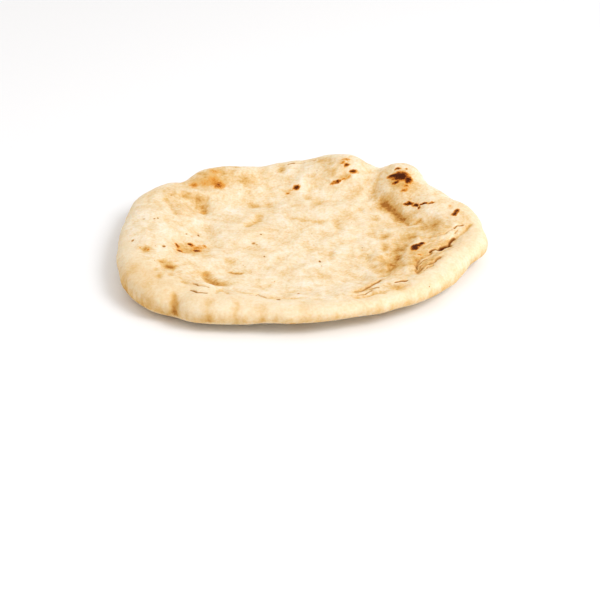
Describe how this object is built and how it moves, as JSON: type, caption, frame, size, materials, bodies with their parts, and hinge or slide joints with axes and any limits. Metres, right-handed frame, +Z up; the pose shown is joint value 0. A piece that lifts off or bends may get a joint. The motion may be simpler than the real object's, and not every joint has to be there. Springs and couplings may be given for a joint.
{
  "type": "pita bread",
  "caption": "Round flat bread with a puffed, uneven rim round a shallow dimpled dish and a flat underside to rest on.",
  "frame": {"origin": "middle of the bread's outline, on the surface that it rests on", "axes": "+Z up out of the dished top, +X to the right and -Y towards the viewer of the picture"},
  "size_m": [0.1772, 0.1766, 0.0203],
  "materials": {
    "crust": "matt, floury cream baked crust with golden dents and a few small charred blisters"
  },
  "bodies": {
    "root": {"pita": "crust"}
  },
  "joints": []
}
